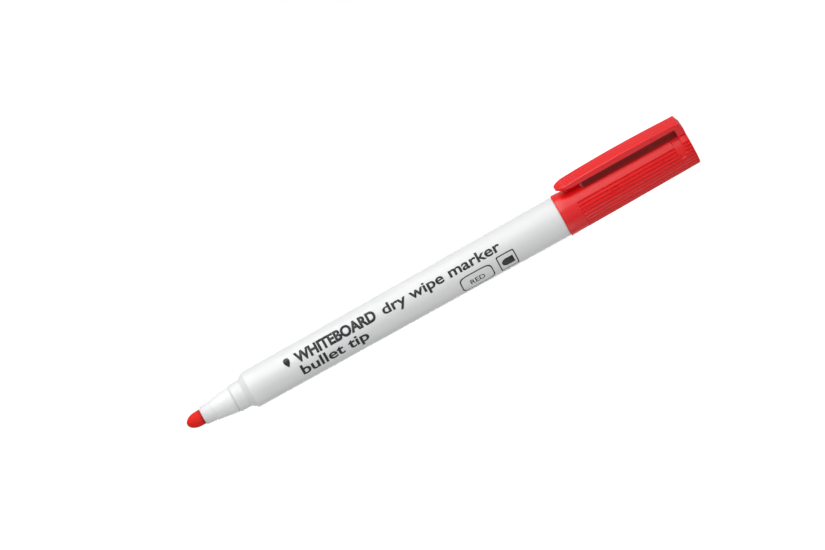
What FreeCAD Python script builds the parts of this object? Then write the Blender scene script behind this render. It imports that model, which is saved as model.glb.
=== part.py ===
"""A slim whiteboard marker with its cap posted on the rear end.

The marker stands on the flat end of the cap. The origin is the centre of that face, +Z runs along
the axis to the nib, and +X points from the axis to the clip. Sizes are in millimetres.
"""

import FreeCAD, Part
import os
import re

import Sketcher

DIMENSIONS = {
    # The cap, from its flat end up to its mouth.
    "cap_length": 39.2,
    "cap_mouth_dia": 11.9,
    "cap_end_dia": 10.94,
    "cap_end_wall": 1.5,
    "cap_end_round": 0.4,
    "tail_bore_depth": 8.6,
    "cup_bore_dia": 8.6,
    # Finger grooves along the cap. They stop below a plain band at the mouth.
    "plain_band": 5.3,
    "groove_count": 26,
    "groove_pitch": 10.2,
    "groove_radius": 0.32,
    "groove_rise": 0.08,
    # The flat channel under the clip.
    "channel_depth": 0.5,
    "channel_width": 6.4,
    "channel_top": 30.0,
    "channel_ramp": 1.2,
    # The shallow slot on each side of the clip's root. It starts and ends at these angles
    # from the clip.
    "slot_low": 2.2,
    "slot_high": 4.65,
    "slot_depth": 0.45,
    "slot_start": 27,
    "slot_end": 81,
    # The clip. Its reach is measured from the axis.
    "clip_width": 5.2,
    "clip_inner_reach": 7.45,
    "clip_foot_reach": 8.85,
    "clip_tip_reach": 8.65,
    "clip_back_radius": 340,
    "clip_foot_height": 2.24,
    "foot_bevel_reach": 2.0,
    "foot_bevel_height": 0.75,
    "clip_tip_height": 37.3,
    "clip_tip_round": 2.3,
    "clip_nose_round": 0.35,
    "clip_lead_in": 0.5,
    "clip_lead_length": 4.2,
    "bump_low": 30.6,
    "bump_high": 36.0,
    "bump_width": 2.6,
    "bump_gap": 0.08,
    "hinge_reach": 8.15,
    "hinge_height": 3.3,
    "hinge_seat_radius": 1.2,
    "hinge_gap": 0.05,
    # The thin cup inside the cap, which seals on the neck of the barrel.
    "cup_bore": 7.8,
    "cup_low": 9.0,
    "cup_floor": 0.8,
    "cup_high": 30.4,
    "cup_lead_in": 0.2,
    # The barrel. Its rim round is also that of the cap's mouth and of the spout.
    "seat_gap": 0.05,
    "tail_dia": 10.3,
    "tail_length": 8.2,
    "barrel_rear_dia": 11.3,
    "barrel_front_dia": 10.3,
    "barrel_front": 133.1,
    "neck_low": 134.8,
    "neck_high": 137.9,
    "neck_dia": 7.85,
    "neck_bore": 6.0,
    "barrel_bore": 8.8,
    "bore_end": 130.6,
    "bore_cone": 1.4,
    "barrel_edge_round": 0.2,
    "rim_round": 0.15,
    "tail_chamfer": 0.3,
    # The nose section, pressed into the neck.
    "nose_rear": 127.2,
    "nose_seam": 0.3,
    "nose_seam_dia": 7.24,
    "nose_base_dia": 7.45,
    "spout_low": 144.2,
    "spout_low_dia": 5.6,
    "spout_high": 147.4,
    "spout_high_dia": 4.9,
    # The nib. Its tip is half an ellipsoid.
    "nib_dia": 4.2,
    "nib_dome": 3.4,
    "nib_rear": 121.0,
    "total_length": 152.1,
    # The ink reservoir and its film.
    "core_low": 37.0,
    "core_high": 127.0,
    "core_dia": 8.3,
    "film_thickness": 0.15,
    # The plug in the rear end of the barrel.
    "plug_head_dia": 9.6,
    "plug_head": 0.9,
    "plug_length": 5.4,
    "plug_wall": 0.9,
}

NAMES = {alias: f"Dims.{alias}" for alias in DIMENSIONS}

doc = FreeCAD.newDocument("whiteboard_marker")
sheet = doc.addObject("Spreadsheet::Sheet", "Dims")
for row, (alias, number) in enumerate(DIMENSIONS.items(), start=1):
    sheet.set(f"A{row}", alias)
    sheet.set(f"B{row}", str(number))
    sheet.setAlias(f"B{row}", alias)
doc.recompute()


def in_sheet(formula):
    """Puts Dims. before each alias in a formula, such as cap_length - plain_band."""
    return re.sub(r"[a-z_]+", lambda word: NAMES.get(word[0], word[0]), formula)


def size(formula):
    return float(sheet.evalExpression(in_sheet(formula)))


def new_body(label):
    body = doc.addObject("PartDesign::Body", label)
    body.Label = label
    return body


def origin_feature(body, role):
    return next(item for item in body.Origin.OriginFeatures if item.Role == role)


def new_sketch(body, name, plane="XZ_Plane"):
    sketch = body.newObject("Sketcher::SketchObject", name)
    sketch.AttachmentSupport = [(origin_feature(body, plane), "")]
    sketch.MapMode = "FlatFace"
    return sketch


def pin_point(sketch, geometry, end, formulas):
    """Places one end of a sketch line by its two distances from the origin."""
    for kind, axis, formula in zip(("DistanceX", "DistanceY"), (-2, -1), formulas):
        distance = size(formula)
        if distance == 0:
            sketch.addConstraint(Sketcher.Constraint("PointOnObject", geometry, end, axis))
            continue
        index = sketch.addConstraint(Sketcher.Constraint(kind, -1, 1, geometry, end, distance))
        sketch.setExpression(f"Constraints[{index}]", in_sheet(formula))


def arc_between(start, finish, radius, turn):
    """The short arc from start to finish, to the left of its chord's centre if turn is 1."""
    chord = finish - start
    height = (radius**2 - (chord.Length / 2) ** 2) ** 0.5
    side = FreeCAD.Vector(-chord.y, chord.x, 0).normalize() * turn
    centre = (start + finish) / 2 + side * height
    circle = Part.Circle(centre, FreeCAD.Vector(0, 0, 1), radius)
    ends = (start, finish) if turn > 0 else (finish, start)
    return Part.ArcOfCircle(circle, *[circle.parameter(point) for point in ends])


def outline(sketch, corners, arcs=None):
    """Draws a closed outline. arcs gives (radius, turn) for each side that is round."""
    arcs = arcs or {}
    points = [FreeCAD.Vector(size(across), size(up), 0) for across, up in corners]
    sides = []
    for index, start in enumerate(points):
        finish = points[(index + 1) % len(points)]
        if index in arcs:
            radius, turn = arcs[index]
            curve = arc_between(start, finish, size(radius), turn)
            geometry = sketch.addGeometry(curve, False)
            rule = sketch.addConstraint(Sketcher.Constraint("Radius", geometry, size(radius)))
            sketch.setExpression(f"Constraints[{rule}]", in_sheet(radius))
            sides.append((geometry, 1, 2) if turn > 0 else (geometry, 2, 1))
        else:
            geometry = sketch.addGeometry(Part.LineSegment(start, finish), False)
            sides.append((geometry, 1, 2))
    for index, (geometry, first, last) in enumerate(sides):
        following = sides[(index + 1) % len(sides)]
        joined = Sketcher.Constraint("Coincident", geometry, last, following[0], following[1])
        sketch.addConstraint(joined)
        pin_point(sketch, geometry, first, corners[index])


def circle_at_centre(sketch, radius):
    """Draws a circle round the sketch's own origin."""
    circle = Part.Circle(FreeCAD.Vector(0, 0, 0), FreeCAD.Vector(0, 0, 1), size(radius))
    geometry = sketch.addGeometry(circle, False)
    sketch.addConstraint(Sketcher.Constraint("Coincident", geometry, 3, -1, 1))
    rule = sketch.addConstraint(Sketcher.Constraint("Radius", geometry, size(radius)))
    sketch.setExpression(f"Constraints[{rule}]", in_sheet(radius))


def revolve(body, name, corners):
    """Turns an outline of (radius, height) corners round the axis of the marker."""
    sketch = new_sketch(body, name + "_outline")
    outline(sketch, corners)
    turned = body.newObject("PartDesign::Revolution", name)
    turned.Profile = sketch
    turned.ReferenceAxis = (sketch, ["V_Axis"])
    turned.Angle = 360
    doc.recompute()
    return turned


def extrude(body, kind, name, corners, width, arcs=None):
    """Pads or pockets an outline of (reach, height) corners, half to each side of the XZ plane."""
    sketch = new_sketch(body, name + "_outline")
    outline(sketch, corners, arcs)
    feature = body.newObject("PartDesign::" + kind, name)
    feature.Profile = sketch
    feature.SideType = "Symmetric"
    feature.setExpression("Length", in_sheet(width))
    doc.recompute()
    return feature


def round_edges(body, name, radius, chosen):
    """Rounds the edges of the body's tip for which chosen(bounding box) is true."""
    base = body.Tip
    names = []
    for number, edge in enumerate(base.Shape.Edges, start=1):
        if chosen(edge.BoundBox):
            names.append(f"Edge{number}")
    fillet = body.newObject("PartDesign::Fillet", name)
    fillet.Base = (base, names)
    fillet.setExpression("Radius", in_sheet(radius))
    doc.recompute()
    return fillet


def ring_at(height, diameter):
    """A test for the circle of this diameter at this height on the axis."""
    level, across = size(height), size(diameter)

    def chosen(box):
        return abs(box.ZMin - level) + abs(box.ZMax - level) + abs(box.XLength - across) < 0.01

    return chosen


CAP_SLOPE = "(cap_mouth_dia - cap_end_dia) / 2 / cap_length"


def cap_radius(height):
    """The formula for the radius of the drafted cap at a height."""
    return f"cap_end_dia / 2 + ({height}) * {CAP_SLOPE}"


def cut_finger_grooves(body):
    """Cuts one groove parallel to the drafted wall, then repeats it round the back of the cap."""
    top = "cap_length - plain_band"
    turn = "180 - (groove_count - 1) * groove_pitch / 2"
    reach = f"({cap_radius(top)} + groove_rise)"
    sketch = new_sketch(body, "finger_groove_outline", "XY_Plane")
    place = {
        "Base.x": f"{reach} * cos(({turn}) * 1 deg)",
        "Base.y": f"{reach} * sin(({turn}) * 1 deg)",
        "Base.z": top,
        "Rotation.Yaw": turn,
        "Rotation.Pitch": f"atan({CAP_SLOPE}) / 1 deg",
    }
    for name, formula in place.items():
        sketch.setExpression("AttachmentOffset." + name, in_sheet(formula))
    circle_at_centre(sketch, "groove_radius")
    groove = body.newObject("PartDesign::Pocket", "finger_groove")
    groove.Profile = sketch
    groove.setExpression("Length", in_sheet("cap_length"))
    pattern = body.newObject("PartDesign::PolarPattern", "finger_grooves")
    pattern.Originals = [groove]
    pattern.Axis = (origin_feature(body, "Z_Axis"), [""])
    pattern.setExpression("Angle", in_sheet("(groove_count - 1) * groove_pitch * 1 deg"))
    pattern.setExpression("Occurrences", in_sheet("groove_count"))
    body.Tip = pattern
    doc.recompute()


def cut_side_slots(body):
    """The shallow slot beside the root of the clip, then its mirror image on the other side."""
    sketch = new_sketch(body, "side_slot_outline")
    sketch.setExpression(
        "AttachmentOffset.Rotation.Pitch", in_sheet("(slot_start + slot_end) / 2")
    )
    floor = f"{cap_radius('slot_low')} - slot_depth"
    outer = "cap_mouth_dia"
    outline(
        sketch,
        [(floor, "slot_low"), (outer, "slot_low"), (outer, "slot_high"), (floor, "slot_high")],
    )
    slot = body.newObject("PartDesign::Groove", "side_slot")
    slot.Profile = sketch
    slot.ReferenceAxis = (sketch, ["V_Axis"])
    slot.Midplane = True
    slot.setExpression("Angle", in_sheet("(slot_end - slot_start) * 1 deg"))
    pair = body.newObject("PartDesign::Mirrored", "side_slots")
    pair.Originals = [slot]
    pair.MirrorPlane = (origin_feature(body, "XZ_Plane"), [""])
    body.Tip = pair
    doc.recompute()


def make_cap_shell():
    body = new_body("cap_shell")
    tail_bore = "tail_dia / 2 + seat_gap"
    ledge = "cap_length - tail_bore_depth"
    revolve(
        body,
        "cap_wall",
        [
            ("0", "0"),
            ("cap_end_dia / 2", "0"),
            ("cap_mouth_dia / 2", "cap_length"),
            (tail_bore, "cap_length"),
            (tail_bore, ledge),
            ("cup_bore_dia / 2", ledge),
            ("cup_bore_dia / 2", "cap_end_wall"),
            ("0", "cap_end_wall"),
        ],
    )
    round_edges(body, "mouth_round", "rim_round", ring_at("cap_length", "cap_mouth_dia"))
    round_edges(body, "end_round", "cap_end_round", ring_at("0", "cap_end_dia"))
    cut_finger_grooves(body)
    floor_low = f"{cap_radius('clip_foot_height')} - channel_depth"
    floor_high = f"{cap_radius('channel_top')} - channel_depth"
    extrude(
        body,
        "Pocket",
        "clip_channel",
        [
            (floor_low, "clip_foot_height"),
            ("clip_tip_reach", "clip_foot_height"),
            ("clip_tip_reach", "channel_top + channel_ramp * 4"),
            (floor_high, "channel_top"),
        ],
        "channel_width",
    )
    cut_side_slots(body)
    foot_inner = "cap_end_dia / 2 - channel_depth"
    extrude(
        body,
        "Pad",
        "clip_foot",
        [
            (foot_inner, "0"),
            ("clip_foot_reach - foot_bevel_reach", "0"),
            ("clip_foot_reach", "foot_bevel_height"),
            ("clip_foot_reach", "hinge_height"),
            ("clip_inner_reach", "hinge_height"),
            ("clip_inner_reach", "clip_foot_height"),
            (foot_inner, "clip_foot_height"),
        ],
        "clip_width",
    )
    sketch = new_sketch(body, "hinge_seat_outline")
    sketch.setExpression("AttachmentOffset.Base.x", in_sheet("hinge_reach"))
    sketch.setExpression("AttachmentOffset.Base.y", in_sheet("hinge_height"))
    circle_at_centre(sketch, "hinge_seat_radius")
    seat = body.newObject("PartDesign::Pocket", "hinge_seat")
    seat.Profile = sketch
    seat.SideType = "Symmetric"
    seat.setExpression("Length", in_sheet("clip_width * 2"))
    doc.recompute()
    return body


def make_clip():
    body = new_body("clip")
    root_radius = "(hinge_seat_radius - hinge_gap)"
    inner_drop = f"sqrt({root_radius} ^ 2 - (hinge_reach - clip_inner_reach) ^ 2)"
    outer_drop = f"sqrt({root_radius} ^ 2 - (clip_foot_reach - hinge_reach) ^ 2)"
    extrude(
        body,
        "Pad",
        "arm",
        [
            ("clip_inner_reach", f"hinge_height - {inner_drop}"),
            ("clip_foot_reach", f"hinge_height - {outer_drop}"),
            ("clip_tip_reach", "clip_tip_height"),
            ("clip_inner_reach + clip_lead_in", "clip_tip_height"),
            ("clip_inner_reach", "clip_tip_height - clip_lead_length"),
        ],
        "clip_width",
        {0: (root_radius, 1), 1: ("clip_back_radius", 1)},
    )
    bump_reach = f"{cap_radius('bump_high')} + bump_gap"
    bump_foot = f"{cap_radius('bump_low + 1')} + bump_gap"
    extrude(
        body,
        "Pad",
        "bump",
        [
            ("clip_inner_reach + 0.2", "bump_low - 1.5"),
            ("clip_inner_reach + clip_lead_in", "bump_high"),
            (bump_reach, "bump_high"),
            (bump_foot, "bump_low + 1"),
        ],
        "bump_width",
    )
    tip = size("clip_tip_height")
    half = size("clip_width / 2")

    def tip_corner(box):
        upright = box.XLength > 0.5 and box.ZLength < 0.3
        return upright and abs(box.ZMax - tip) < 0.3 and abs(abs(box.YMin) - half) < 0.01

    def nose_edge(box):
        across = box.YLength > 0.5 and abs(box.ZMax - tip) < 0.05
        return across and box.XMin > size("clip_tip_reach - 0.1") and box.ZLength < 2.3

    round_edges(body, "tip_corners", "clip_tip_round", tip_corner)
    round_edges(body, "tip_nose", "clip_nose_round", nose_edge)
    return body


def make_seal_cup():
    body = new_body("seal_cup")
    outer = "cup_bore_dia / 2"
    inner = "cup_bore / 2"
    revolve(
        body,
        "cup",
        [
            ("0", "cup_low"),
            (outer, "cup_low"),
            (outer, "cup_high"),
            (f"{inner} + cup_lead_in", "cup_high"),
            (inner, "cup_high - cup_lead_in * 3"),
            (inner, "cup_low + cup_floor"),
            ("0", "cup_low + cup_floor"),
        ],
    )
    return body


def make_barrel():
    body = new_body("barrel")
    seat = "cap_length + seat_gap"
    tail_end = f"{seat} - tail_length"
    plug_seat = f"{tail_end} + plug_head"
    revolve(
        body,
        "tube",
        [
            ("barrel_bore / 2", plug_seat),
            ("tail_dia / 2 - tail_chamfer", plug_seat),
            ("tail_dia / 2", f"{plug_seat} + tail_chamfer"),
            ("tail_dia / 2", seat),
            ("barrel_rear_dia / 2", seat),
            ("barrel_front_dia / 2", "barrel_front"),
            ("neck_dia / 2", "neck_low"),
            ("neck_dia / 2", "neck_high"),
            ("neck_bore / 2", "neck_high"),
            ("neck_bore / 2", "bore_end + bore_cone"),
            ("barrel_bore / 2", "bore_end"),
        ],
    )
    round_edges(body, "seat_round", "rim_round", ring_at(seat, "barrel_rear_dia"))
    round_edges(body, "neck_round", "barrel_edge_round", ring_at("neck_high", "neck_dia"))
    front = ring_at("barrel_front", "barrel_front_dia")
    round_edges(body, "shoulder_round", "barrel_edge_round", front)
    return body


def make_nose_section():
    body = new_body("nose_section")
    revolve(
        body,
        "holder",
        [
            ("nib_dia / 2", "nose_rear"),
            ("neck_bore / 2", "nose_rear"),
            ("neck_bore / 2", "neck_high"),
            ("nose_seam_dia / 2", "neck_high"),
            ("nose_seam_dia / 2", "neck_high + nose_seam"),
            ("nose_base_dia / 2", "neck_high + nose_seam"),
            ("spout_low_dia / 2", "spout_low"),
            ("spout_high_dia / 2", "spout_high"),
            ("nib_dia / 2", "spout_high"),
        ],
    )
    round_edges(body, "spout_round", "rim_round", ring_at("spout_high", "spout_high_dia"))
    return body


def bind(item, formulas):
    """Ties properties of an object to formulas."""
    for name, formula in formulas.items():
        item.setExpression(name, in_sheet(formula))


def rod(name, diameter, low, high):
    """A plain round rod on the axis, from one height to another."""
    cylinder = doc.addObject("Part::Cylinder", name)
    sizes = {
        "Radius": f"{diameter} / 2",
        "Height": f"{high} - ({low})",
        "Placement.Base.z": low,
    }
    bind(cylinder, sizes)
    return cylinder


def make_nib():
    """A straight fibre rod with half an ellipsoid for its tip."""
    dome_base = "total_length - nib_dome"
    dome = doc.addObject("Part::Ellipsoid", "nib_tip")
    dome.Angle1 = 0
    sizes = {"Radius1": "nib_dome", "Radius2": "nib_dia / 2", "Placement.Base.z": dome_base}
    bind(dome, sizes)
    nib = doc.addObject("Part::MultiFuse", "nib")
    nib.Label = "nib"
    nib.Shapes = [rod("nib_rod", "nib_dia", "nib_rear", dome_base), dome]
    return nib


def make_ink_reservoir():
    """The fibre core, with a blind hole at the front for the end of the nib."""
    reservoir = doc.addObject("Part::Cut", "ink_reservoir")
    reservoir.Label = "ink_reservoir"
    reservoir.Base = rod("fibre_core", "core_dia", "core_low", "core_high")
    reservoir.Tool = rod("nib_hole", "nib_dia", "nib_rear", "core_high + 1")
    return reservoir


def make_reservoir_film():
    body = new_body("reservoir_film")
    revolve(
        body,
        "film",
        [
            ("core_dia / 2", "core_low"),
            ("core_dia / 2 + film_thickness", "core_low"),
            ("core_dia / 2 + film_thickness", "core_high"),
            ("core_dia / 2", "core_high"),
        ],
    )
    return body


def make_end_plug():
    """A cup-shaped plug with a head that covers the rear end of the barrel."""
    body = new_body("end_plug")
    low = "cap_length + seat_gap - tail_length"
    stem = "barrel_bore / 2"
    revolve(
        body,
        "plug",
        [
            ("0", low),
            ("plug_head_dia / 2", low),
            ("plug_head_dia / 2", f"{low} + plug_head"),
            (stem, f"{low} + plug_head"),
            (stem, f"{low} + plug_length"),
            (f"{stem} - plug_wall", f"{low} + plug_length"),
            (f"{stem} - plug_wall", f"{low} + plug_head"),
            ("0", f"{low} + plug_head"),
        ],
    )
    return body


PIECES = [
    make_cap_shell(),
    make_seal_cup(),
    make_clip(),
    make_barrel(),
    make_nose_section(),
    make_nib(),
    make_ink_reservoir(),
    make_reservoir_film(),
    make_end_plug(),
]
doc.recompute()

for item in doc.Objects:
    if "Invalid" in item.State or "Error" in item.State:
        raise RuntimeError(f"{item.Name} did not compute: {item.State}")

os.makedirs("parts", exist_ok=True)
for piece in PIECES:
    if piece.Shape.isNull() or not piece.Shape.isValid():
        raise RuntimeError(f"{piece.Label} has no valid shape")
    piece.Shape.exportStep(f"parts/{piece.Label}.step")
    box = piece.Shape.BoundBox
    print(
        f"{piece.Label:16s} solids {len(piece.Shape.Solids)} volume {piece.Shape.Volume:8.1f}"
        f"  z {box.ZMin:7.2f} to {box.ZMax:7.2f}  x {box.XMin:6.2f} to {box.XMax:6.2f}"
    )
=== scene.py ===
"""The looks of a slim whiteboard marker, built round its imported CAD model.

The marker stands on the flat end of its posted cap. +Z runs up the axis to the nib and +X points
from the axis to the clip. Lengths below are in millimetres unless a name ends in _m or _M, and
the mesh builders turn them into metres.
"""

import math

import bmesh
import bpy
from mathutils import Matrix, Vector, noise


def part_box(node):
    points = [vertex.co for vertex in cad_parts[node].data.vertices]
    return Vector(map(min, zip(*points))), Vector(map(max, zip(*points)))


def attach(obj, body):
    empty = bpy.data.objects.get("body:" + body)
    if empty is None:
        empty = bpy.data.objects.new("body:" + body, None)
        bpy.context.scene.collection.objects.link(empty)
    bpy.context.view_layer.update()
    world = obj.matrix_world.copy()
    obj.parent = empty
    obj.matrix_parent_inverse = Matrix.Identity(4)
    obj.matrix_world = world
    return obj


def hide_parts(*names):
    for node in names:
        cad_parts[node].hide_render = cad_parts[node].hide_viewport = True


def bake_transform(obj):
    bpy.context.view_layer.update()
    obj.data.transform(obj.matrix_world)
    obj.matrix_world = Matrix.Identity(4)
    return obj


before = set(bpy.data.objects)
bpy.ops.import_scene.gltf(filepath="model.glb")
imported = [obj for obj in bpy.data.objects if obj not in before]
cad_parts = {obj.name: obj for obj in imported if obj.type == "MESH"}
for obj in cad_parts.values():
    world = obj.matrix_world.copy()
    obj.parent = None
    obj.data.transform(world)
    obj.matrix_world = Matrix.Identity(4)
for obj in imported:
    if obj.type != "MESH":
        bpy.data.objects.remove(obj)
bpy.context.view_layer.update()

MM = 0.001
UP = Vector((0, 0, 1))


def node_span(node):
    """The lowest and highest corners of a CAD node, in millimetres."""
    low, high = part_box(node)
    return [value / MM for value in low], [value / MM for value in high]


# Heights and widths read from the frame.
CAP_TOP = node_span("cap_shell")[1][2]
CAP_MOUTH_RADIUS = node_span("cap_shell")[1][1]
BARREL_LOW = node_span("barrel")[0][2]
NECK_TOP = node_span("barrel")[1][2]
BARREL_REAR_RADIUS = node_span("barrel")[1][1]
NOSE_LOW = node_span("nose_section")[0][2]
NOSE_TOP = node_span("nose_section")[1][2]
NIB_LOW = node_span("nib")[0][2]
NIB_TIP = node_span("nib")[1][2]
NIB_RADIUS = node_span("nib")[1][1]
CLIP_TIP = node_span("clip")[1][2]
CLIP_HALF_WIDTH = node_span("clip")[1][1]

# Sizes of the design that the frame's boxes don't give. First the cap and its stepped bore.
CAP_END_RADIUS = 5.47
CAP_END_WALL = 1.5
CAP_END_ROUND = 0.4
RIM_ROUND = 0.15
TAIL_BORE_RADIUS = 5.2
TAIL_BORE_DEPTH = 8.6
CUP_BORE_RADIUS = 4.3

# The finger grooves, which stop below a plain band at the cap's mouth.
PLAIN_BAND = 5.3
GROOVE_COUNT = 26
GROOVE_PITCH = math.radians(10.2)
GROOVE_DEPTH = 0.4
GROOVE_HALF_WIDTH = 0.36

# The flat channel under the clip. It can cut the cap only within CHANNEL_REACH of the clip.
CHANNEL_DEPTH = 0.5
CHANNEL_TOP = 30.0
CHANNEL_RAMP = 1.4
CHANNEL_REACH = math.radians(50)

# The shallow slot on each side of the clip's root, between two angles from the clip.
SLOT_LOW = 2.2
SLOT_HIGH = 4.65
SLOT_DEPTH = 0.45
SLOT_START = math.radians(27)
SLOT_END = math.radians(81)

# The barrel, from the tail in the cap to the neck.
SEAT_GAP = 0.05
SEAT = CAP_TOP + SEAT_GAP
TAIL_RADIUS = 5.15
BARREL_FRONT = 133.1
BARREL_FRONT_RADIUS = 5.15
BARREL_BORE_RADIUS = 4.4
BARREL_BORE_TOP = 130.6
NECK_LOW = 134.8
NECK_RADIUS = 3.925
NECK_BORE_RADIUS = 3.0
NECK_BORE_LOW = 132.0

# The nose section, from the fine seam over the neck to the spout, and the domed nib.
SEAM_RADIUS = 3.62
SEAM_WIDTH = 0.22
CONE_BASE_RADIUS = 3.72
CONE_TOP_RADIUS = 2.9
SPOUT_LOW = 144.2
SPOUT_RADIUS = 2.78
SPOUT_TOP_RADIUS = 2.45
NIB_DOME = 3.4


# ---------------------------------------------------------------- mesh helpers


def finish_mesh(name, mesh, sharp_degrees=32):
    """Makes an object of a bmesh, shaded smooth except at edges sharper than the angle."""
    bmesh.ops.recalc_face_normals(mesh, faces=mesh.faces)
    data = bpy.data.meshes.new(name)
    mesh.to_mesh(data)
    mesh.free()
    data.transform(Matrix.Scale(MM, 4))
    for face in data.polygons:
        face.use_smooth = True
    data.set_sharp_from_angle(angle=math.radians(sharp_degrees))
    piece = bpy.data.objects.new(name, data)
    bpy.context.scene.collection.objects.link(piece)
    return piece


def keep_faces_flat(piece):
    """Weights the normals by face size, so that fillets don't shade the faces beside them."""
    weighted = piece.modifiers.new("weighted normals", "WEIGHTED_NORMAL")
    weighted.keep_sharp = True
    return piece


def rounded_outline(corners):
    """Turns (across, up, radius) corners of an open outline into points with round corners."""
    steps = 5
    points = []
    for index, (across, up, radius) in enumerate(corners):
        here = Vector((across, up))
        if radius == 0 or index in (0, len(corners) - 1):
            points.append(here)
            continue
        before = (Vector(corners[index - 1][:2]) - here).normalized()
        after = (Vector(corners[index + 1][:2]) - here).normalized()
        half = before.angle(after) / 2
        reach = radius / math.tan(half)
        centre = here + (before + after).normalized() * (radius / math.sin(half))
        start = here + before * reach - centre
        finish = here + after * reach - centre
        sweep = math.copysign(math.pi - 2 * half, start.cross(finish))
        for step in range(steps + 1):
            points.append(centre + Matrix.Rotation(sweep * step / steps, 2) @ start)
    return points


def turned(name, corners, segments):
    """Turns a closed outline of (radius, height, round) corners round the axis."""
    angles = [2 * math.pi * step / segments for step in range(segments)]
    mesh = bmesh.new()
    rings = []
    for radius, height in rounded_outline(corners):
        ring = [(radius * math.cos(a), radius * math.sin(a), height) for a in angles]
        rings.append([mesh.verts.new(place) for place in ring])
    join_rings(mesh, rings, closed=True)
    return keep_faces_flat(finish_mesh(name, mesh))


def join_rings(mesh, rings, closed=False):
    """Joins each ring of vertices to the next. A ring of one vertex is a pole."""
    pairs = list(zip(rings, rings[1:]))
    if closed:
        pairs.append((rings[-1], rings[0]))
    for lower, upper in pairs:
        count = max(len(lower), len(upper))
        for step in range(count):
            after = (step + 1) % count
            corners = [
                lower[step % len(lower)],
                lower[after % len(lower)],
                upper[after % len(upper)],
                upper[step % len(upper)],
            ]
            unique = list(dict.fromkeys(corners))
            if len(unique) > 2:
                mesh.faces.new(unique)


def smooth_step(value, low, high):
    """0 up to low, 1 from high on, and a smooth curve between them."""
    share = min(max((value - low) / (high - low), 0), 1)
    return share * share * (3 - 2 * share)


def spread(low, high, count):
    """Evenly spaced numbers from low to high, both included."""
    return [low + (high - low) * step / (count - 1) for step in range(count)]


# ---------------------------------------------------------------- materials

# Texture scales, in features to the metre.
FLOW_CLOUDS = 160
GLOSS_PATCHES = 420
GRAIN = 7000
HAIRLINES = 9000
FIBRE_STRANDS = 5200
DAMP_PATCHES = 700
INK_COVER = 2600
FILM_CRINKLE = 900
FLOOR_MOTTLE = 40

# Stretches of a texture. A small last number draws it out along the axis.
EVEN = (1, 1, 1)
ALONG_FLOW = (1, 1, 0.35)
ALONG_HAIRLINES = (1, 1, 0.012)
ALONG_FIBRE = (1, 1, 0.12)
ALONG_FILM = (1, 1, 0.2)

# Depths of surface relief, in metres.
GRAIN_DEPTH_M = 0.0000025
HAIRLINE_DEPTH_M = GRAIN_DEPTH_M * 0.3
FIBRE_DEPTH_M = 0.00004
INK_DEPTH_M = 0.000003
FILM_DEPTH_M = 0.00002

PLASTIC_IOR = 1.49


def new_material(name):
    """A material with its node tree, its links and its main shader."""
    material = bpy.data.materials.new(name)
    material.use_nodes = True
    nodes = material.node_tree.nodes
    return material, nodes, material.node_tree.links, nodes["Principled BSDF"]


def object_space(nodes, links, scale):
    """Coordinates fixed to the piece, multiplied by scale along each axis."""
    source = nodes.new("ShaderNodeTexCoord")
    mapping = nodes.new("ShaderNodeMapping")
    mapping.inputs["Scale"].default_value = scale
    links.new(source.outputs["Object"], mapping.inputs["Vector"])
    return mapping.outputs["Vector"]


def noise_texture(nodes, links, space, scale, detail, roughness=0.5):
    texture = nodes.new("ShaderNodeTexNoise")
    texture.inputs["Scale"].default_value = scale
    texture.inputs["Detail"].default_value = detail
    texture.inputs["Roughness"].default_value = roughness
    links.new(space, texture.inputs["Vector"])
    return texture.outputs["Fac"]


def ranged(nodes, links, value, low, high, out_low, out_high):
    """Maps a value from one range to another, and clamps it."""
    mapper = nodes.new("ShaderNodeMapRange")
    for socket, number in zip(mapper.inputs[1:5], (low, high, out_low, out_high)):
        socket.default_value = number
    links.new(value, mapper.inputs[0])
    return mapper.outputs[0]


def mixed(nodes, links, share, first, second):
    """Mixes two colours. Each is a tuple or another node's output."""
    mix = nodes.new("ShaderNodeMix")
    mix.data_type = "RGBA"
    sockets = [socket for socket in mix.inputs if socket.type == "RGBA"]
    for socket, colour in zip(sockets, (first, second)):
        if isinstance(colour, tuple):
            socket.default_value = (*colour, 1)
        else:
            links.new(colour, socket)
    links.new(share, mix.inputs[0])
    return next(socket for socket in mix.outputs if socket.type == "RGBA")


def bumped(nodes, links, height, distance_m, before=None):
    """Relief of a depth in metres, laid over any relief that comes before it."""
    bump = nodes.new("ShaderNodeBump")
    bump.inputs["Strength"].default_value = 1.0
    bump.inputs["Distance"].default_value = distance_m
    links.new(height, bump.inputs["Height"])
    if before is not None:
        links.new(before, bump.inputs["Normal"])
    return bump.outputs["Normal"]


def inside_box(nodes, links, low, high):
    """1 inside a box of the piece's own space and 0 outside. Its corners are in millimetres."""
    apart = nodes.new("ShaderNodeSeparateXYZ")
    links.new(object_space(nodes, links, EVEN), apart.inputs[0])
    inside = None
    for axis in range(3):
        within = nodes.new("ShaderNodeMath")
        within.operation = "COMPARE"
        links.new(apart.outputs[axis], within.inputs[0])
        within.inputs[1].default_value = (low[axis] + high[axis]) / 2 * MM
        within.inputs[2].default_value = (high[axis] - low[axis]) / 2 * MM
        if inside is None:
            inside = within.outputs[0]
            continue
        both = nodes.new("ShaderNodeMath")
        both.operation = "MULTIPLY"
        links.new(inside, both.inputs[0])
        links.new(within.outputs[0], both.inputs[1])
        inside = both.outputs[0]
    return inside


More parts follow.
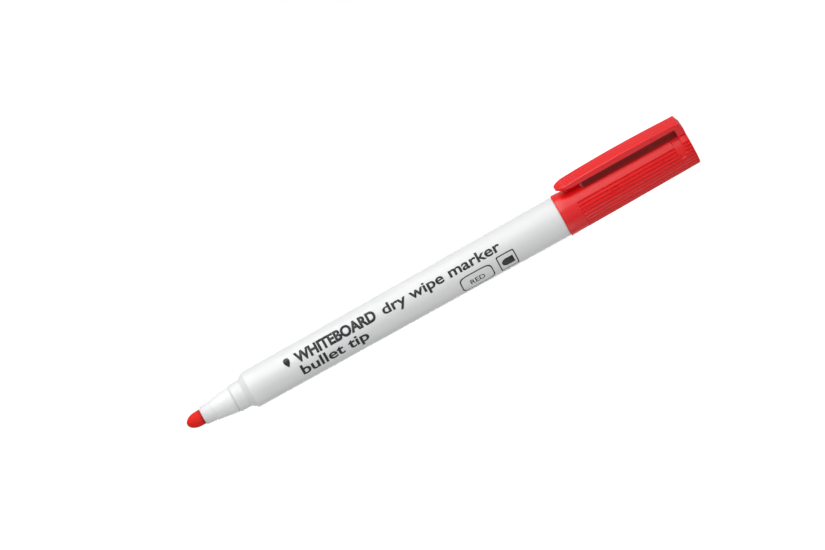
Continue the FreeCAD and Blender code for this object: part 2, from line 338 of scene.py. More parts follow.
def moulded_plastic(name, colour, cloud, worn, gloss, glow, rough_and_shade=None):
    """Moulded plastic: faint flow clouds, fine grain, rubbed edges and hairline scratches.

    colour is the body of the plastic, cloud its cloudy variation and worn its rubbed edges.
    gloss is the lowest and highest roughness. glow is the weight, the depth in millimetres and
    the red, green and blue reach of light under the surface. rough_and_shade is two corners of a
    box where the mould was left rough and painted shade darkens the colour, the roughness there,
    the painted shade colour there, and the painted shade colour in grooves and other hollows.
    """
    material, nodes, links, shader = new_material(name)
    space = object_space(nodes, links, ALONG_FLOW)
    clouds = noise_texture(nodes, links, space, FLOW_CLOUDS, 4)
    cloudy = ranged(nodes, links, clouds, 0.35, 0.65, 0, 1)
    body = mixed(nodes, links, cloudy, colour, cloud)
    edges = nodes.new("ShaderNodeNewGeometry").outputs["Pointiness"]
    rubbed = ranged(nodes, links, edges, 0.515, 0.56, 0, 0.6)
    surface = mixed(nodes, links, rubbed, body, worn)
    patches = noise_texture(nodes, links, space, GLOSS_PATCHES, 5, 0.6)
    roughness = ranged(nodes, links, patches, 0.3, 0.7, *gloss)
    if rough_and_shade is not None:
        low, high, rough, shade, groove_shade = rough_and_shade
        # Painted shade: a darker colour in grooves and other hollows, and a darker colour in the
        # box under the clip.
        hollow_shade_share = ranged(nodes, links, edges, 0.42, 0.485, 1, 0)
        surface = mixed(nodes, links, hollow_shade_share, surface, groove_shade)
        inside = inside_box(nodes, links, low, high)
        surface = mixed(nodes, links, inside, surface, shade)
        rougher = nodes.new("ShaderNodeMath")
        rougher.operation = "MULTIPLY_ADD"
        links.new(inside, rougher.inputs[0])
        rougher.inputs[1].default_value = rough - gloss[1]
        links.new(roughness, rougher.inputs[2])
        roughness = rougher.outputs[0]
    links.new(surface, shader.inputs["Base Color"])
    links.new(roughness, shader.inputs["Roughness"])
    grain = noise_texture(nodes, links, object_space(nodes, links, EVEN), GRAIN, 2)
    streaks_space = object_space(nodes, links, ALONG_HAIRLINES)
    streaks = noise_texture(nodes, links, streaks_space, HAIRLINES, 3, 0.7)
    scratches = ranged(nodes, links, streaks, 0.66, 0.74, 0, 1)
    fine = bumped(nodes, links, grain, GRAIN_DEPTH_M)
    normal = bumped(nodes, links, scratches, HAIRLINE_DEPTH_M, before=fine)
    links.new(normal, shader.inputs["Normal"])
    shader.inputs["IOR"].default_value = PLASTIC_IOR
    weight, depth, reach = glow
    shader.inputs["Subsurface Weight"].default_value = weight
    shader.inputs["Subsurface Scale"].default_value = depth * MM
    shader.inputs["Subsurface Radius"].default_value = reach
    return material


def soaked_fibre(name, colour, dark, pale, spout_shade=None):
    """Pressed fibre full of ink: fine strands along the axis, pores and damp patches.

    spout_shade gives the lowest and highest height of a band of painted shade at the nib's base,
    and its colour.
    """
    material, nodes, links, shader = new_material(name)
    space = object_space(nodes, links, ALONG_FIBRE)
    strands = noise_texture(nodes, links, space, FIBRE_STRANDS, 4, 0.65)
    strand_share = ranged(nodes, links, strands, 0.35, 0.7, 0, 1)
    damp = noise_texture(nodes, links, object_space(nodes, links, EVEN), DAMP_PATCHES, 3)
    damp_share = ranged(nodes, links, damp, 0.4, 0.65, 0, 1)
    body = mixed(nodes, links, strand_share, dark, colour)
    pale_share = ranged(nodes, links, damp, 0.55, 0.8, 0, 0.6)
    surface = mixed(nodes, links, pale_share, body, pale)
    # Painted shade: a dark band at the base of the nib where it goes into the spout, darkest at the
    # lowest height.
    if spout_shade is not None:
        apart = nodes.new("ShaderNodeSeparateXYZ")
        links.new(object_space(nodes, links, EVEN), apart.inputs[0])
        low, high, shade = spout_shade
        spout_shade_share = ranged(nodes, links, apart.outputs[2], low * MM, high * MM, 0.75, 0)
        surface = mixed(nodes, links, spout_shade_share, surface, shade)
    links.new(surface, shader.inputs["Base Color"])
    wet = ranged(nodes, links, damp_share, 0, 1, 0.5, 0.8)
    links.new(wet, shader.inputs["Roughness"])
    links.new(bumped(nodes, links, strands, FIBRE_DEPTH_M), shader.inputs["Normal"])
    shader.inputs["Specular IOR Level"].default_value = 0.25
    shader.inputs["Subsurface Weight"].default_value = 0.15
    shader.inputs["Subsurface Scale"].default_value = 0.4 * MM
    shader.inputs["Subsurface Radius"].default_value = (1, 0.15, 0.1)
    return material


def printing_ink(name, colour, thin):
    """Screen-printed ink: slightly uneven cover and a fine orange-peel surface."""
    material, nodes, links, shader = new_material(name)
    cover = noise_texture(nodes, links, object_space(nodes, links, EVEN), INK_COVER, 4, 0.6)
    bare = ranged(nodes, links, cover, 0.45, 0.8, 0, 0.7)
    links.new(mixed(nodes, links, bare, colour, thin), shader.inputs["Base Color"])
    links.new(ranged(nodes, links, cover, 0.3, 0.7, 0.32, 0.5), shader.inputs["Roughness"])
    links.new(bumped(nodes, links, cover, INK_DEPTH_M), shader.inputs["Normal"])
    return material


def clear_film(name):
    """Thin, faintly cloudy film with a crinkled gloss."""
    material, nodes, links, shader = new_material(name)
    space = object_space(nodes, links, ALONG_FILM)
    crinkle = noise_texture(nodes, links, space, FILM_CRINKLE, 4, 0.6)
    share = ranged(nodes, links, crinkle, 0.3, 0.7, 0, 1)
    colour = mixed(nodes, links, share, (0.9, 0.82, 0.82), (0.95, 0.9, 0.9))
    links.new(colour, shader.inputs["Base Color"])
    links.new(ranged(nodes, links, crinkle, 0.3, 0.7, 0.12, 0.3), shader.inputs["Roughness"])
    links.new(bumped(nodes, links, crinkle, FILM_DEPTH_M), shader.inputs["Normal"])
    shader.inputs["Transmission Weight"].default_value = 0.5
    return material


def wear(piece, material):
    """Gives a piece one material in place of any that it has."""
    piece.data.materials.clear()
    piece.data.materials.append(material)


WHITE_GLOW = (0.25, 1.2, (1, 0.95, 0.9))

# The box round the channel under the clip, which also takes in the clip's underside: a rough finish
# with painted shade. The band of painted shade at the nib's base by the spout.
CHANNEL_ROUGH_SHADE_BOX = ((4.9, -2.28, 2.26), (7.5, 2.28, 30.4))
SPOUT_SHADE_BAND = (NOSE_TOP, NOSE_TOP + 1.1)

white = moulded_plastic(
    "satin_white", (0.86, 0.87, 0.865), (0.83, 0.845, 0.845), (0.9, 0.9, 0.9), (0.3, 0.42),
    glow=WHITE_GLOW,
)
natural = moulded_plastic(
    "natural_plastic", (0.95, 0.96, 0.96), (0.91, 0.925, 0.925), (0.97, 0.97, 0.97), (0.24, 0.36),
    glow=(0.5, 1.5, (1, 0.97, 0.95)),
)
red = moulded_plastic(
    "cap_red", (0.88, 0.007, 0.01), (0.83, 0.006, 0.009), (0.93, 0.03, 0.035), (0.25, 0.35),
    glow=(0.06, 0.5, (1, 0.06, 0.05)),
    # Painted shade: a darker red in the channel under the clip and in the grooves.
    rough_and_shade=(*CHANNEL_ROUGH_SHADE_BOX, 0.75, (0.42, 0.001, 0.002), (0.5, 0.001, 0.005)),
)
seal = moulded_plastic(
    "seal_plastic", (0.8, 0.82, 0.82), (0.74, 0.76, 0.77), (0.88, 0.88, 0.88), (0.35, 0.5),
    glow=WHITE_GLOW,
)
nib_fibre = soaked_fibre(
    "nib_fibre", (0.97, 0.02, 0.008), (0.75, 0.01, 0.006), (0.98, 0.06, 0.02),
    # Painted shade at the nib's base by the spout.
    spout_shade=(*SPOUT_SHADE_BAND, (0.3, 0.004, 0.004)),
)
core_fibre = soaked_fibre("core_fibre", (0.6, 0.03, 0.03), (0.4, 0.01, 0.015), (0.8, 0.3, 0.28))
film = clear_film("film_plastic")
ink = printing_ink("print_ink", (0.013, 0.014, 0.016), (0.035, 0.037, 0.04))


# ---------------------------------------------------------------- barrel


def barrel_radius(height):
    """The radius of the tapered barrel between the cap and the shoulder."""
    share = (height - SEAT) / (BARREL_FRONT - SEAT)
    return BARREL_REAR_RADIUS + (BARREL_FRONT_RADIUS - BARREL_REAR_RADIUS) * share


def make_barrel():
    """The barrel as one tube: bore, tail, seat, tapered body, shoulder and neck."""
    corners = [
        (BARREL_BORE_RADIUS, BARREL_LOW, 0),
        (TAIL_RADIUS, BARREL_LOW, 0.3),
        (TAIL_RADIUS, SEAT, 0.06),
        (BARREL_REAR_RADIUS, SEAT, RIM_ROUND),
        (BARREL_FRONT_RADIUS, BARREL_FRONT, 0.45),
        (NECK_RADIUS, NECK_LOW, 0.25),
        (NECK_RADIUS, NECK_TOP, 0.25),
        (NECK_BORE_RADIUS, NECK_TOP, 0.05),
        (NECK_BORE_RADIUS, NECK_BORE_LOW, 0),
        (BARREL_BORE_RADIUS, BARREL_BORE_TOP, 0),
    ]
    piece = turned("barrel_tube", corners, 160)
    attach(piece, "barrel")
    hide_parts("barrel")
    wear(piece, white)


def make_nose():
    """The tip holder as one tube: stem, fine seam over the neck, cone and spout."""
    seam_top = NECK_TOP + SEAM_WIDTH
    clearance, spout_step = 0.02, 0.08
    corners = [
        (NIB_RADIUS, NOSE_LOW, 0),
        (NECK_BORE_RADIUS, NOSE_LOW, 0.2),
        (NECK_BORE_RADIUS, NECK_TOP - clearance, 0),
        (SEAM_RADIUS, NECK_TOP + clearance, 0.05),
        (SEAM_RADIUS, seam_top, 0.05),
        (CONE_BASE_RADIUS, seam_top, 0.12),
        (CONE_TOP_RADIUS, SPOUT_LOW, 0.06),
        (SPOUT_RADIUS, SPOUT_LOW + spout_step, 0.06),
        (SPOUT_TOP_RADIUS, NOSE_TOP, 0.18),
        (NIB_RADIUS, NOSE_TOP, 0),
    ]
    piece = turned("nose_holder", corners, 112)
    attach(piece, "barrel")
    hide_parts("nose_section")
    wear(piece, natural)


def make_nib():
    """A fibre rod whose domed tip is a little uneven, as pressed fibre is."""
    segments, rows = 96, 36
    sink, strand_depth, pore_depth, tip_wear = 0.035, 0.03, 0.02, 0.02
    mesh = bmesh.new()
    rings = [[mesh.verts.new((0, 0, NIB_LOW))]]
    heights = [NIB_LOW, *spread(NOSE_TOP - 1, NIB_TIP - NIB_DOME, 4)]
    profile = [(NIB_RADIUS, height) for height in heights]
    for step in range(1, rows):
        angle = math.pi / 2 * step / rows
        level = NIB_TIP - NIB_DOME + NIB_DOME * math.sin(angle)
        profile.append((NIB_RADIUS * math.cos(angle), level))
    for radius, height in profile:
        ring = []
        for step in range(segments):
            angle = 2 * math.pi * step / segments
            across = Vector((math.cos(angle), math.sin(angle), 0))
            place = across * radius + UP * height
            if height > NOSE_TOP:
                strands = noise.noise(Vector((place.x * 3.2, place.y * 3.2, place.z * 0.9)))
                pores = noise.noise(place * 7.0)
                fade = smooth_step(height, NOSE_TOP, NOSE_TOP + 0.5)
                uneven = sink + strand_depth * strands + pore_depth * pores
                place -= across * min(radius, 1) * fade * uneven
            ring.append(mesh.verts.new(place))
        rings.append(ring)
    rings.append([mesh.verts.new((0, 0, NIB_TIP - tip_wear))])
    join_rings(mesh, rings)
    piece = finish_mesh("nib_rod", mesh, 60)
    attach(piece, "barrel")
    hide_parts("nib")
    wear(piece, nib_fibre)


# ---------------------------------------------------------------- cap


def cap_radius(height):
    """The radius of the tapered cap, before its grooves, channel and slots."""
    return CAP_END_RADIUS + (CAP_MOUTH_RADIUS - CAP_END_RADIUS) * height / CAP_TOP


def groove_depth(angle, height, radius):
    """How deep the nearest finger groove is. Angle is counted from the clip."""
    from_back = abs(math.pi - angle % (2 * math.pi))
    nearest = (math.floor(from_back / GROOVE_PITCH) + 0.5) * GROOVE_PITCH
    if nearest > GROOVE_PITCH * GROOVE_COUNT / 2:
        nearest -= GROOVE_PITCH
    along = abs(from_back - nearest) * radius / GROOVE_HALF_WIDTH
    if along >= 1:
        return 0
    groove_top = CAP_TOP - PLAIN_BAND
    run_out = 1 - smooth_step(height, groove_top - 0.3, groove_top + 0.05)
    roundness = 0.7
    return GROOVE_DEPTH * run_out * math.cos(along * math.pi / 2) ** roundness


def slot_share(from_clip, height, radius):
    """1 inside the slot beside the root of the clip and 0 outside it. Its far end is round."""
    half = (SLOT_HIGH - SLOT_LOW) / 2
    middle = (SLOT_HIGH + SLOT_LOW) / 2
    past_end = max(from_clip - SLOT_END + half / radius, 0) * radius
    inside = half - math.hypot(past_end, height - middle)
    past_start = (from_clip - SLOT_START) * radius
    wall_outside, wall_inside = -0.05, 0.09
    return smooth_step(min(inside, past_start), wall_outside, wall_inside)


def cap_surface(angle, height):
    """The outer radius of the cap at an angle from the clip and a height."""
    radius = cap_radius(height)
    deepest = groove_depth(angle, height, radius)
    from_clip = abs((angle + math.pi) % (2 * math.pi) - math.pi)
    if from_clip < CHANNEL_REACH:
        ramp = CHANNEL_DEPTH * smooth_step(height, CHANNEL_TOP, CHANNEL_TOP + CHANNEL_RAMP)
        flat = (radius - CHANNEL_DEPTH + ramp) / math.cos(from_clip)
        deepest = max(deepest, radius - flat)
    deepest = max(deepest, SLOT_DEPTH * slot_share(from_clip, height, radius))
    return radius - deepest


def make_cap():
    """The cap as one closed skin: end face, grooved outside, mouth and the stepped bore."""
    segments = 720
    angles = [2 * math.pi * step / segments for step in range(segments)]
    # Rows are closest at the slots, at the end of the channel and at the end of the grooves.
    heights = [
        *spread(CAP_END_ROUND, SLOT_LOW - 0.12, 3),
        *spread(SLOT_LOW - 0.06, SLOT_HIGH + 0.06, 34),
        *spread(SLOT_HIGH + 0.2, CHANNEL_TOP - 0.2, 14),
        *spread(CHANNEL_TOP, CHANNEL_TOP + CHANNEL_RAMP, 6),
        *spread(CHANNEL_TOP + CHANNEL_RAMP + 0.4, CAP_TOP - PLAIN_BAND - 0.7, 3),
        *spread(CAP_TOP - PLAIN_BAND - 0.58, CAP_TOP - PLAIN_BAND, 9),
        *spread(CAP_TOP - PLAIN_BAND + 1, CAP_TOP - RIM_ROUND, 3),
    ]
    mesh = bmesh.new()

    def ring(radius_at, height):
        places = [(radius_at(a) * math.cos(a), radius_at(a) * math.sin(a), height) for a in angles]
        return [mesh.verts.new(place) for place in places]

    def round_rim(height, radius, inwards):
        """Insets and levels of a quarter round at one end of the wall. inwards is 1 or -1."""
        steps = 6
        rows = []
        for step in range(steps):
            turn = math.pi / 2 * step / steps
            inset = radius * (1 - math.sin(turn))
            drop = radius * (1 - math.cos(turn))
            rows.append((inset, height + inwards * drop))
        return rows

    rings = [[mesh.verts.new((0, 0, 0))]]
    for inset, level in round_rim(0, CAP_END_ROUND, 1):
        rings.append(ring(lambda a, i=inset: cap_surface(a, CAP_END_ROUND) - i, level))
    for height in heights:
        rings.append(ring(lambda a, h=height: cap_surface(a, h), height))
    for inset, level in reversed(round_rim(CAP_TOP, RIM_ROUND, -1)):
        rings.append(ring(lambda a, i=inset: cap_surface(a, CAP_TOP - RIM_ROUND) - i, level))
    ledge = CAP_TOP - TAIL_BORE_DEPTH
    chamfer = 0.1
    bore = [
        (TAIL_BORE_RADIUS + chamfer, CAP_TOP),
        (TAIL_BORE_RADIUS, CAP_TOP - chamfer),
        (TAIL_BORE_RADIUS, ledge),
        (CUP_BORE_RADIUS, ledge),
        (CUP_BORE_RADIUS, CAP_END_WALL),
    ]
    for radius, height in bore:
        rings.append(ring(lambda a, r=radius: r, height))
    rings.append([mesh.verts.new((0, 0, CAP_END_WALL))])
    join_rings(mesh, rings)
    piece = finish_mesh("cap_skin", mesh, 40)
    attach(piece, "cap")
    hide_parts("cap_shell")
    wear(piece, red)


# ---------------------------------------------------------------- clip

# A reach is a distance from the axis of the marker. The back is the clip's bowed outer face.
CLIP_INNER = 7.45
CLIP_FOOT_INNER = 5.0
CLIP_FOOT_TOP = 2.24
CLIP_FOOT_REACH = 8.85
CLIP_TIP_REACH = 8.65
CLIP_BACK_RADIUS = 340.0
CLIP_CORNER = 0.42
CLIP_UNDER_CORNER = 0.2
FOOT_BEVEL_HEIGHT = 0.75
FOOT_BEVEL_REACH = 2.0

# The nose is the rounded edge of the tip, and the lead-in lets a pocket edge slip under it.
CLIP_NOSE = 0.8
CLIP_NOSE_DROP = 0.3
CLIP_LEAD_IN = 0.5
CLIP_LEAD_LENGTH = 4.2

# Short grip grooves run across the back near the tip.
GRIP_LOW = 30.5
GRIP_PITCH = 0.9
GRIP_COUNT = 5
GRIP_DEPTH = 0.2
GRIP_HALF_LENGTH = 1.25

# The bump is the rounded keel under the tip.
BUMP_LOW = 30.6
BUMP_HIGH = 36.0
BUMP_HALF_WIDTH = 1.3


def clip_outer(height):
    """The reach of the clip's bowed outer face, with its bevelled foot and rounded nose."""
    low, high = CLIP_FOOT_TOP, CLIP_TIP
    middle = (low + high) / 2
    half = (high - low) / 2
    chord = CLIP_FOOT_REACH + (CLIP_TIP_REACH - CLIP_FOOT_REACH) * (height - low) / (high - low)
    bow = math.sqrt(CLIP_BACK_RADIUS**2 - (height - middle) ** 2)
    reach = chord + max(bow - math.sqrt(CLIP_BACK_RADIUS**2 - half**2), 0)
    if height < FOOT_BEVEL_HEIGHT:
        reach -= FOOT_BEVEL_REACH * (1 - height / FOOT_BEVEL_HEIGHT)
    share = max(height - CLIP_TIP + CLIP_NOSE, 0) / CLIP_NOSE
    return reach - CLIP_NOSE_DROP * (1 - math.sqrt(max(1 - share**2, 0)))


def clip_inner(height):
    """The reach of the clip's inner face, which rises to the tip as a lead-in."""
    if height < CLIP_FOOT_TOP:
        return CLIP_FOOT_INNER
    fillet = 0.35
    rise = max(1 - (height - CLIP_FOOT_TOP) / fillet, 0)
    lift = fillet * (1 - math.sqrt(max(1 - rise**2, 0)))
    lead = CLIP_LEAD_IN * max(height - CLIP_TIP + CLIP_LEAD_LENGTH, 0) / CLIP_LEAD_LENGTH
    return CLIP_INNER - lift + lead


def clip_half_width(height):
    """Half the width of the clip, which narrows to a blunt round end at the tip."""
    narrowing, tip_half = 3.0, 0.9
    onset, bluntness = 1.7, 0.75
    share = min(max(height - CLIP_TIP + narrowing, 0) / narrowing, 1)
    return tip_half + (CLIP_HALF_WIDTH - tip_half) * (1 - share**onset) ** bluntness


def bump_depth(height, across):
    """How far the bump reaches from the clip to the cap. It fades in and out at every side."""
    gap = 0.06
    wanted = clip_inner(height) - cap_radius(height) - gap
    along = smooth_step(height, BUMP_LOW - 1.6, BUMP_LOW + 1.2)
    along *= 1 - smooth_step(height, BUMP_HIGH - 0.8, BUMP_HIGH + 0.4)
    edge = 1 - smooth_step(abs(across), BUMP_HALF_WIDTH - 0.6, BUMP_HALF_WIDTH + 0.5)
    return wanted * along * edge


def grip_depth(height, across):
    """How deep the short grip grooves across the tip of the clip are."""
    row = (height - GRIP_LOW) / GRIP_PITCH
    if not 0 < row < GRIP_COUNT:
        return 0
    wave = math.sin(math.pi * row) ** 2
    fade = 0.3
    inside = 1 - smooth_step(abs(across), GRIP_HALF_LENGTH - fade, GRIP_HALF_LENGTH)
    return GRIP_DEPTH * wave * inside


def clip_section(height):
    """The closed outline of the clip at a height, as (reach, across) points."""
    outer, inner = clip_outer(height), clip_inner(height)
    half = clip_half_width(height)
    largest_share, steps = 0.45, 6
    corner = min(CLIP_CORNER, (outer - inner) * largest_share, half * largest_share)
    under = min(CLIP_UNDER_CORNER, corner)
    points = []
    corners = [
        (outer - corner, half - corner, 0, corner),
        (inner + under, half - under, 90, under),
        (inner + under, under - half, 180, under),
        (outer - corner, corner - half, 270, corner),
    ]
    for reach, across, start, radius in corners:
        for step in range(steps + 1):
            turn = math.radians(start + 90 / steps * step)
            points.append((reach + radius * math.cos(turn), across + radius * math.sin(turn)))
        if start == 90:
            low_face = spread(half - under, under - half, 22)[1:-1]
            points += [(inner - bump_depth(height, y), y) for y in low_face]
        if start == 270:
            crown, crown_width = 0.07, 0.8
            for y in spread(corner - half, half - corner, 26)[1:-1]:
                raised = crown * (crown_width - (y / half) ** 2) - grip_depth(height, y)
                points.append((outer + raised, y))
    return points


def make_clip():
    """The foot and the springy arm of the clip as one skin."""
    # Rows are closest at the foot, at the bump and at the tip.
    heights = [
        *spread(0, FOOT_BEVEL_HEIGHT, 5),
        *spread(1.1, CLIP_FOOT_TOP - 0.02, 3),
        *spread(CLIP_FOOT_TOP, CLIP_FOOT_TOP + 0.36, 7),
        *spread(3.0, BUMP_LOW - 1.8, 22),
        *spread(BUMP_LOW - 1.6, GRIP_LOW - 0.1, 6),
        *spread(GRIP_LOW, GRIP_LOW + GRIP_PITCH * GRIP_COUNT, 46),
    ]
    tip_rows = 16
    for step in range(tip_rows + 1):
        closing = 1 - math.sin(math.pi / 2 * step / tip_rows)
        heights.append(CLIP_TIP - (CLIP_TIP - BUMP_HIGH + 1.0) * closing)
    mesh = bmesh.new()
    rings = []
    for height in heights:
        rings.append([mesh.verts.new((x, y, height)) for x, y in clip_section(height)])
    join_rings(mesh, rings)
    mesh.faces.new(rings[0])
    mesh.faces.new(rings[-1])
    piece = finish_mesh("clip_skin", mesh, 35)
    wear(piece, red)
    keep_faces_flat(piece)
    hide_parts("clip")
    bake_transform(piece)


# ---------------------------------------------------------------- printing

# Print runs along the barrel from the nib towards the cap. A turn is an angle in degrees round
# the barrel, clockwise as seen from the nib, from the direction PRINT_ZERO.
PRINT_ZERO = math.radians(30)
PRINT_LIFT = 0.012
PRINT_THICKNESS = 0.03
PRINT_LINE = 0.3
UPPER_ROW = 90
LOWER_ROW = 131


def wrap_on_barrel(mesh, start_from_tip, base_turn):
    """Cuts a flat mesh of (along, up) millimetres into strips and bends it round the barrel."""
    strip = 0.22
    low = min(vert.co.y for vert in mesh.verts)
    high = max(vert.co.y for vert in mesh.verts)
    for step in range(1, math.ceil((high - low) / strip)):
        cut = Vector((0, low + step * strip, 0))
        everything = mesh.verts[:] + mesh.edges[:] + mesh.faces[:]
        bmesh.ops.bisect_plane(mesh, geom=everything, plane_co=cut, plane_no=(0, 1, 0))
    base = math.radians(base_turn)
    for vert in mesh.verts:
        height = NIB_TIP - start_from_tip - vert.co.x
        radius = barrel_radius(height)
        angle = PRINT_ZERO - base + vert.co.y / radius
        reach = radius + PRINT_LIFT
        vert.co = Vector((reach * math.cos(angle), reach * math.sin(angle), height))


def print_piece(name, mesh, start_from_tip, base_turn):
    """Prints a flat mesh on the barrel, at a distance from the nib's tip and at a turn."""
    weld = 0.0005
    bmesh.ops.remove_doubles(mesh, verts=mesh.verts, dist=weld)
    wrap_on_barrel(mesh, start_from_tip, base_turn)
    piece = finish_mesh(name, mesh, 60)
    centre = sum((vert.co for vert in piece.data.vertices), Vector()) / len(piece.data.vertices)
    outward = Vector((centre.x, centre.y, 0))
    if sum(face.normal.dot(outward) * face.area for face in piece.data.polygons) < 0:
        piece.data.flip_normals()
    solid = piece.modifiers.new("ink film", "SOLIDIFY")
    solid.thickness = PRINT_THICKNESS * MM
    solid.offset = -1
    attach(piece, "barrel")
    wear(piece, ink)


def letters(words, weight):
    """The flat filled outlines of some words, thickened by weight."""
    curve = bpy.data.curves.new("words", "FONT")
    curve.body = words
    curve.offset = weight
    curve.resolution_u = 6
    holder = bpy.data.objects.new("words", curve)
    bpy.context.scene.collection.objects.link(holder)
    bpy.context.view_layer.update()
    data = bpy.data.meshes.new_from_object(holder)
    bpy.data.objects.remove(holder)
    return data


def words_mesh(words, length, height, weight):
    """Some words, fitted to a length and to the height of a capital."""
    capital_ups = [vert.co.y for vert in letters("H", weight).vertices]
    capital_height = max(capital_ups) - min(capital_ups)
    mesh = bmesh.new()
    mesh.from_mesh(letters(words, weight))
    left = min(vert.co.x for vert in mesh.verts)
    width = max(vert.co.x for vert in mesh.verts) - left
    for vert in mesh.verts:
        along = (vert.co.x - left) * length / width
        vert.co = Vector((along, vert.co.y * height / capital_height, 0))
    return mesh


def band_mesh(outer, inner):
    """A flat band between two closed outlines with the same number of points."""
    mesh = bmesh.new()
    rings = [[mesh.verts.new((x, y, 0)) for x, y in outline] for outline in (outer, inner)]
    join_rings(mesh, rings)
    return mesh


def round_outline(half_length, half_height, middle, squareness):
    """A closed outline round a point at (middle, 0). A squareness of 2 makes it an ellipse."""
    count = 96
    points = []
    for step in range(count):
        angle = 2 * math.pi * step / count
        across, up = math.cos(angle), math.sin(angle)
        points.append((
            middle + half_length * math.copysign(abs(across) ** (2 / squareness), across),
            half_height * math.copysign(abs(up) ** (2 / squareness), up),
        ))
    return points


def border_mesh(half_length, half_height, squareness):
    """A thin printed border whose left side is at 0."""
    inner_length, inner_height = half_length - PRINT_LINE, half_height - PRINT_LINE
    return band_mesh(
        round_outline(half_length, half_height, half_length, squareness),
        round_outline(inner_length, inner_height, half_length, squareness),
    )


def filled_mesh(points):
    """A flat mesh that fills a closed outline."""
    mesh = bmesh.new()
    mesh.faces.new([mesh.verts.new((x, y, 0)) for x, y in points])
    bmesh.ops.triangulate(mesh, faces=mesh.faces)
    return mesh


def drop_outline():
    """An ink drop with its point down."""
    count, half_width, half_height = 48, 1.15, 1.35
    points = []
    for step in range(count):
        angle = 2 * math.pi * step / count
        across = half_width * math.sin(angle) * math.sin(angle / 2)
        points.append((across + 1.3, 1.5 - half_height * math.cos(angle)))
    return points


def bullet_outline():
    """A bullet nib with its round end towards the nib of the marker."""
    half_height, dome, dome_start, end, steps = 1.15, 1.5, 2.4, 4.4, 16
    points = [(end, half_height), (end, -half_height), (dome_start, -half_height)]
    for step in range(1, steps):
        angle = -math.pi / 2 + math.pi * step / steps
        points.append((dome_start - dome * math.cos(angle), half_height * math.sin(angle)))
    points.append((dome_start, half_height))
    return points


def make_printing():
    """Generic wording, an ink drop, the colour's name in a border and a picture of a bullet nib."""
    print_piece("print_title", words_mesh("WHITEBOARD", 24, 3.15, 0.045), 33.5, UPPER_ROW)
    print_piece("print_use", words_mesh("dry wipe marker", 35.3, 2.9, 0.02), 59.6, UPPER_ROW)
    print_piece("print_tip", words_mesh("bullet tip", 19.9, 3.0, 0.02), 33.5, LOWER_ROW)
    print_piece("print_drop", filled_mesh(drop_outline()), 29.8, UPPER_ROW)
    print_piece("print_pill", border_mesh(4.8, 2.5, 5), 80.9, 132)
    print_piece("print_colour", words_mesh("RED", 4.2, 1.5, 0.005), 83.6, 140)
    print_piece("print_square", border_mesh(2.65, 2.65, 14), 92.3, 129)
    print_piece("print_bullet", filled_mesh(bullet_outline()), 92.3, 129)


# ---------------------------------------------------------------- stage


def make_camera():
    """Looks square at the side of the marker, with the nib down to the left of the picture."""
    picture_width_m = 0.2177
    distance_m = 1.45
    across_clip = math.radians(30)
    axis_slope = math.radians(29.2)
    up_side = Vector((math.cos(across_clip), math.sin(across_clip), 0))
    toward = Vector((math.sin(across_clip), -math.cos(across_clip), 0))
    right = -UP * math.cos(axis_slope) - up_side * math.sin(axis_slope)
    up = -UP * math.sin(axis_slope) + up_side * math.cos(axis_slope)
    middle = UP * (NIB_TIP / 2 * MM)
    aim_left_m, aim_up_m = 0.00697, 0.00248
    aim = middle - right * aim_left_m + up * aim_up_m
    data = bpy.data.cameras.new("photo_camera")
    data.sensor_width = 36
    data.lens = data.sensor_width * distance_m / picture_width_m
    data.clip_start, data.clip_end = 0.05, 60
    camera = bpy.data.objects.new("photo_camera", data)
    place = aim + toward * distance_m
    camera.matrix_world = Matrix((
        (right.x, up.x, toward.x, place.x),
        (right.y, up.y, toward.y, place.y),
        (right.z, up.z, toward.z, place.z),
        (0, 0, 0, 1),
    ))
    bpy.context.scene.collection.objects.link(camera)
    bpy.context.scene.camera = camera


def make_softbox(name, turn, height_m, distance_m, size_m, power):
    """A rectangular soft light at an angle round the axis, aimed at the marker's middle."""
    data = bpy.data.lights.new(name, "AREA")
    data.shape = "RECTANGLE"
    data.size, data.size_y = size_m
    data.energy = power
    light = bpy.data.objects.new(name, data)
    angle = math.radians(turn)
    light.location = (distance_m * math.cos(angle), distance_m * math.sin(angle), height_m)
    aim = Vector((0, 0, NIB_TIP / 2 * MM)) - light.location
    light.rotation_mode = "QUATERNION"
    light.rotation_quaternion = aim.to_track_quat("-Z", "Y")
    light.visible_camera = False
    bpy.context.scene.collection.objects.link(light)


def seen_or_not(nodes, links, seen, unseen):
    """One brightness for what the camera sees, and another for the light that falls on things."""
    path = nodes.new("ShaderNodeLightPath")
    return ranged(nodes, links, path.outputs["Is Camera Ray"], 0, 1, unseen, seen)


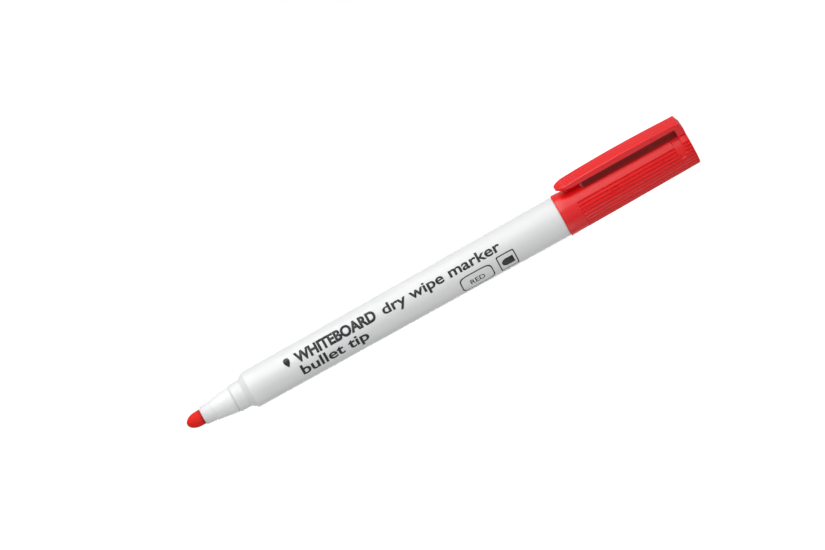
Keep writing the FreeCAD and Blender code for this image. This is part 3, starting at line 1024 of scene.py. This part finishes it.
def make_floor():
    """A pale floor, a hair below the cap's end face so that the two never coincide."""
    radius_m, drop = 30, 0.05
    mesh = bmesh.new()
    bmesh.ops.create_circle(mesh, cap_ends=True, segments=64, radius=radius_m / MM)
    piece = finish_mesh("floor", mesh)
    piece.location.z = -drop * MM
    material, nodes, links, shader = new_material("pale_floor")
    mottle = noise_texture(nodes, links, object_space(nodes, links, EVEN), FLOOR_MOTTLE, 3)
    share = ranged(nodes, links, mottle, 0.3, 0.7, 0, 1)
    pale = mixed(nodes, links, share, (0.49, 0.49, 0.49), (0.51, 0.51, 0.51))
    links.new(pale, shader.inputs["Base Color"])
    shader.inputs["Roughness"].default_value = 0.9
    shader.inputs["Specular IOR Level"].default_value = 0.0
    shader.inputs["Emission Color"].default_value = (1, 1, 1, 1)
    brightness = seen_or_not(nodes, links, seen=0.8, unseen=0.2)
    links.new(brightness, shader.inputs["Emission Strength"])
    wear(piece, material)


def make_world(brightness, backdrop):
    """An even white surround. The camera sees it a little brighter, as a clean backdrop."""
    world = bpy.data.worlds.new("studio")
    bpy.context.scene.world = world
    world.use_nodes = True
    nodes, links = world.node_tree.nodes, world.node_tree.links
    background = nodes["Background"]
    background.inputs["Color"].default_value = (1, 1, 1, 1)
    strength = seen_or_not(nodes, links, backdrop, brightness)
    links.new(strength, background.inputs["Strength"])


make_camera()
make_barrel()
make_nose()
make_nib()
make_cap()
make_clip()
make_printing()

wear(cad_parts["seal_cup"], seal)
wear(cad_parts["end_plug"], red)
wear(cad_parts["ink_reservoir"], core_fibre)
wear(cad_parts["reservoir_film"], film)

bpy.context.scene.view_settings.view_transform = "Standard"
make_floor()
make_world(brightness=0.4, backdrop=1.05)
make_softbox("key", -6, 0.2, 0.9, (1.15, 0.45), 6.2)
make_softbox("fill", -70, 0.3, 1.6, (1.2, 0.9), 1.9)
make_softbox("side", -136, 0.15, 1.2, (0.9, 0.3), 1.0)
make_softbox("back", 125, 0.4, 1.1, (0.9, 0.9), 5.5)
